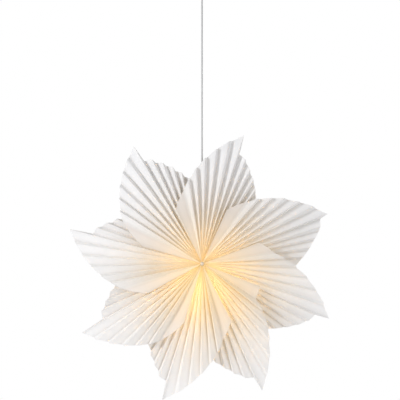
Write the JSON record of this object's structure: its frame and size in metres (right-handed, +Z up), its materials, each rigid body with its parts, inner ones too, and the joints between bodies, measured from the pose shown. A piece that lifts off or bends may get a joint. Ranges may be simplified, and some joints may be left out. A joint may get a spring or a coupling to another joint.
{
  "type": "paper snowflake star lamp",
  "caption": "Hanging star lamp of pleated paper fans laid in a pinwheel, front and back, round a small lampholder on a flex.",
  "frame": {"origin": "on the ceiling face of the ceiling plate, above the middle of the star", "axes": "+Z up, star in the XZ plane, front facing -Y, +X to the right of someone who looks at the front"},
  "size_m": [0.7546, 0.208, 1.2643],
  "materials": {
    "star_paper": "matte",
    "thread_and_tab": "matte",
    "flex_sheath": "satin",
    "spreader_steel": "satin",
    "zinc_steel": "satin",
    "socket_brass": "satin",
    "bulb_cap_metal": "satin",
    "bulb_opal": "gloss",
    "insulator": "satin",
    "bead": "gloss",
    "ceiling_plastic": "satin",
    "holder_plastic": "gloss"
  },
  "bodies": {
    "ceiling_fitting": {"ceiling_plate": "zinc_steel", "ceiling_cup": "ceiling_plastic", "ceiling_screw_left": "zinc_steel", "ceiling_screw_right": "zinc_steel", "terminal_block": "insulator", "terminal_screw_1": "socket_brass", "terminal_screw_2": "socket_brass", "strain_relief": "holder_plastic", "grub_screw": "zinc_steel", "flex_tail": "flex_sheath"},
    "swing_nut": {"swing_nut": "ceiling_plastic"},
    "flex": {"flex": "flex_sheath"},
    "lamp": {"cord_grip": "holder_plastic", "lampholder_cap": "holder_plastic", "lampholder_body": "holder_plastic", "socket_insert": "insulator", "screw_shell": "socket_brass", "centre_contact": "socket_brass", "spreader_wire": "spreader_steel", "front_bead": "bead", "rear_bead": "bead", "front_thread": "thread_and_tab", "rear_thread": "thread_and_tab"},
    "clamp_ring": {"clamp_ring": "holder_plastic"},
    "bulb": {"bulb_glass": "bulb_opal", "bulb_cap": "bulb_cap_metal", "bulb_insulator": "insulator", "led_stem": "insulator"},
    "petal_1": {"front_petal_1": "star_paper", "rear_petal_1": "star_paper", "front_seam_tab": "thread_and_tab", "rear_seam_tab": "thread_and_tab"},
    "petal_2": {"front_petal_2": "star_paper", "rear_petal_2": "star_paper"},
    "petal_3": {"front_petal_3": "star_paper", "rear_petal_3": "star_paper"},
    "petal_4": {"front_petal_4": "star_paper", "rear_petal_4": "star_paper"},
    "petal_5": {"front_petal_5": "star_paper", "rear_petal_5": "star_paper"},
    "petal_6": {"front_petal_6": "star_paper", "rear_petal_6": "star_paper"},
    "petal_7": {"front_petal_7": "star_paper", "rear_petal_7": "star_paper"},
    "petal_8": {"front_petal_8": "star_paper", "rear_petal_8": "star_paper"}
  },
  "joints": [
    {"name": "swing_front_back", "type": "hinge", "parent": "ceiling_fitting", "child": "swing_nut", "pos_m": [0, 0, -0.07], "axis": [1, 0, 0], "range_deg": [-8, 8]},
    {"name": "swing_side", "type": "hinge", "parent": "swing_nut", "child": "flex", "pos_m": [0, 0, -0.07], "axis": [0, 1, 0], "range_deg": [-8, 8]},
    {"name": "swivel", "type": "hinge", "parent": "flex", "child": "lamp", "pos_m": [0, 0, -0.875], "axis": [0, 0, 1], "range_deg": [-180, 180]},
    {"name": "seam_open", "type": "hinge", "parent": "lamp", "child": "petal_1", "pos_m": [0, 0, -0.875], "axis": [0, 1, 0], "range_deg": [0, 24.5]},
    {"name": "fan_2", "type": "hinge", "parent": "lamp", "child": "petal_2", "pos_m": [0, 0, -0.875], "axis": [0, 1, 0], "range_deg": [0, 17.6]},
    {"name": "fan_3", "type": "hinge", "parent": "lamp", "child": "petal_3", "pos_m": [0, 0, -0.875], "axis": [0, 1, 0], "range_deg": [0, 10.6]},
    {"name": "fan_4", "type": "hinge", "parent": "lamp", "child": "petal_4", "pos_m": [0, 0, -0.875], "axis": [0, 1, 0], "range_deg": [0, 3.6]},
    {"name": "fan_5", "type": "hinge", "parent": "lamp", "child": "petal_5", "pos_m": [0, 0, -0.875], "axis": [0, 1, 0], "range_deg": [-3.6, 0]},
    {"name": "fan_6", "type": "hinge", "parent": "lamp", "child": "petal_6", "pos_m": [0, 0, -0.875], "axis": [0, 1, 0], "range_deg": [-10.6, 0]},
    {"name": "fan_7", "type": "hinge", "parent": "lamp", "child": "petal_7", "pos_m": [0, 0, -0.875], "axis": [0, 1, 0], "range_deg": [-17.6, 0]},
    {"name": "fan_8", "type": "hinge", "parent": "lamp", "child": "petal_8", "pos_m": [0, 0, -0.875], "axis": [0, 1, 0], "range_deg": [-24.6, 0]},
    {"name": "clamp_turn", "type": "hinge", "parent": "lamp", "child": "clamp_ring", "pos_m": [0, 0, -0.875], "axis": [0, 0, 1], "continuous": true},
    {"name": "bulb_out", "type": "slide", "parent": "lamp", "child": "bulb", "axis": [0, 0, -1], "range_m": [0, 0.035]}
  ],
  "couplings": [
    {"joint": "fan_2", "follows": "seam_open", "ratio": 0.71429},
    {"joint": "fan_3", "follows": "seam_open", "ratio": 0.42857},
    {"joint": "fan_4", "follows": "seam_open", "ratio": 0.14286},
    {"joint": "fan_5", "follows": "seam_open", "ratio": -0.14286},
    {"joint": "fan_6", "follows": "seam_open", "ratio": -0.42857},
    {"joint": "fan_7", "follows": "seam_open", "ratio": -0.71429},
    {"joint": "fan_8", "follows": "seam_open", "ratio": -1}
  ]
}
